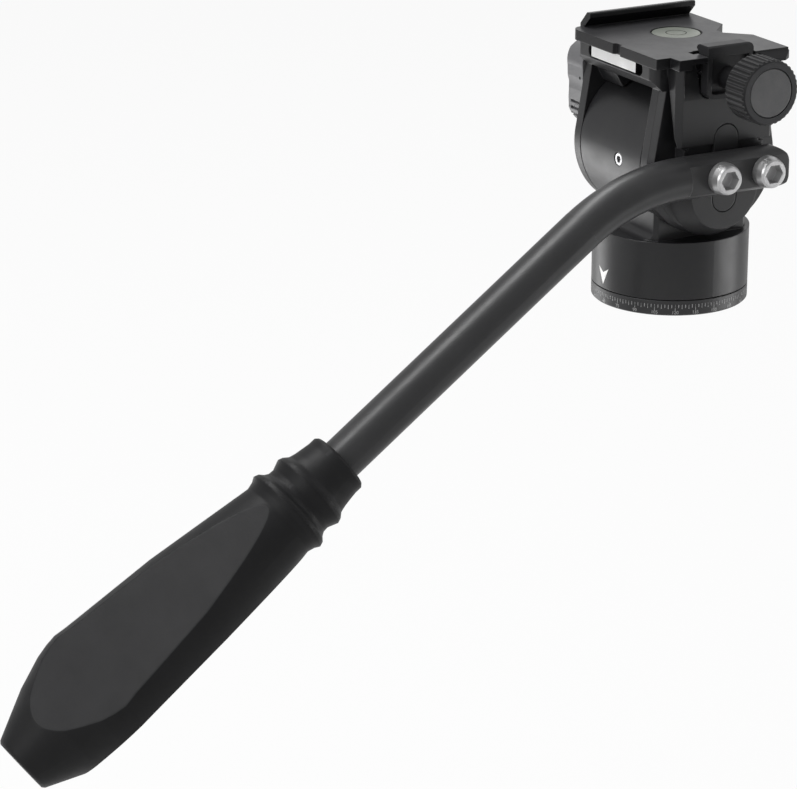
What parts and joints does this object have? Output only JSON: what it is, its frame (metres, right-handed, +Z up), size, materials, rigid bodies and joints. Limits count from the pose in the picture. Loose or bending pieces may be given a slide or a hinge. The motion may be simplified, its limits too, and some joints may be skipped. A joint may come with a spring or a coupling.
{
  "type": "fluid video head",
  "caption": "Compact fluid video head: graduated pan base, tilt drum in a yoke, dovetail plate clamp with level, and a bent pan handle with a faceted grip.",
  "frame": {"origin": "centre of the base's underside, at the mouth of the tripod thread, on the pan axis", "axes": "+Z up along the pan axis; +X along the tilt axis to the handle's side; +Y the lens direction, away from the operator"},
  "size_m": [0.0836, 0.2452, 0.1756],
  "materials": {
    "cast_black": "satin",
    "plate_black": "satin",
    "bar_black": "satin",
    "knob_black": "satin",
    "knob_cap": "satin",
    "lever_grey": "satin",
    "grip_rubber": "matte",
    "bright_steel": "polished",
    "steel": "satin",
    "bronze": "satin",
    "friction": "matte",
    "level_cup": "satin",
    "level_vial": "clear",
    "pale_strip": "satin"
  },
  "bodies": {
    "base": {"base_plate": "cast_black", "thread_insert": "steel", "pan_drag_plate": "steel", "pan_retainer": "steel", "pan_retainer_screw": "steel"},
    "pan": {"pan_housing": "cast_black", "pan_drag_ring": "friction", "pan_bush": "bronze", "pan_brake_shoe": "friction", "drum_cover": "cast_black", "drum_cover_screws": "steel", "drum_set_screw": "bright_steel", "tilt_bush_left": "bronze", "tilt_bush_right": "bronze", "tilt_drag_stators": "steel"},
    "pan_lock": {"pan_lock_knob": "knob_black", "pan_lock_stud": "steel"},
    "tilt": {"tilt_yoke": "cast_black", "clamp_plate": "plate_black", "plate_screws": "steel", "level_cup": "level_cup", "level_vial": "level_vial", "front_strip": "pale_strip", "tilt_axle": "steel", "axle_cover": "knob_black", "tilt_drag_rotors": "friction", "tilt_brake_shoe": "friction", "handle_saddle": "cast_black", "handle_bar": "bar_black", "handle_bolts": "bright_steel", "grip": "grip_rubber"},
    "jaw": {"movable_jaw": "plate_black", "jaw_guide_pins": "steel"},
    "clamp": {"clamp_knob": "knob_black", "clamp_stud": "steel", "knob_cap": "knob_cap"},
    "tilt_lock": {"tilt_lock_lever": "lever_grey", "tilt_lock_cam": "steel"}
  },
  "joints": [
    {"name": "pan", "type": "hinge", "parent": "base", "child": "pan", "pos_m": [0, 0, 0], "axis": [0, 0, 1], "continuous": true},
    {"name": "pan_lock_turn", "type": "hinge", "parent": "pan", "child": "pan_lock", "pos_m": [-0.02318, 0.00621, 0.0121], "axis": [-0.9659, 0.2588, 0], "range_deg": [0, 120]},
    {"name": "tilt", "type": "hinge", "parent": "pan", "child": "tilt", "pos_m": [0, 0, 0.044], "axis": [1, 0, 0], "range_deg": [-75, 90]},
    {"name": "tilt_lock_turn", "type": "hinge", "parent": "tilt", "child": "tilt_lock", "pos_m": [-0.0236, -0.012, 0.06548], "axis": [1, 0, 0], "range_deg": [-75, 0]},
    {"name": "jaw_slide", "type": "slide", "parent": "tilt", "child": "jaw", "axis": [1, 0, 0], "range_m": [-0.0032, 0]},
    {"name": "knob_turn", "type": "hinge", "parent": "jaw", "child": "clamp", "pos_m": [0.0446, -0.0013, 0.06995], "axis": [1, 0, 0], "range_deg": [-1440, 0]}
  ],
  "couplings": [
    {"joint": "jaw_slide", "follows": "knob_turn", "m_per_rad": 0.00012732}
  ]
}
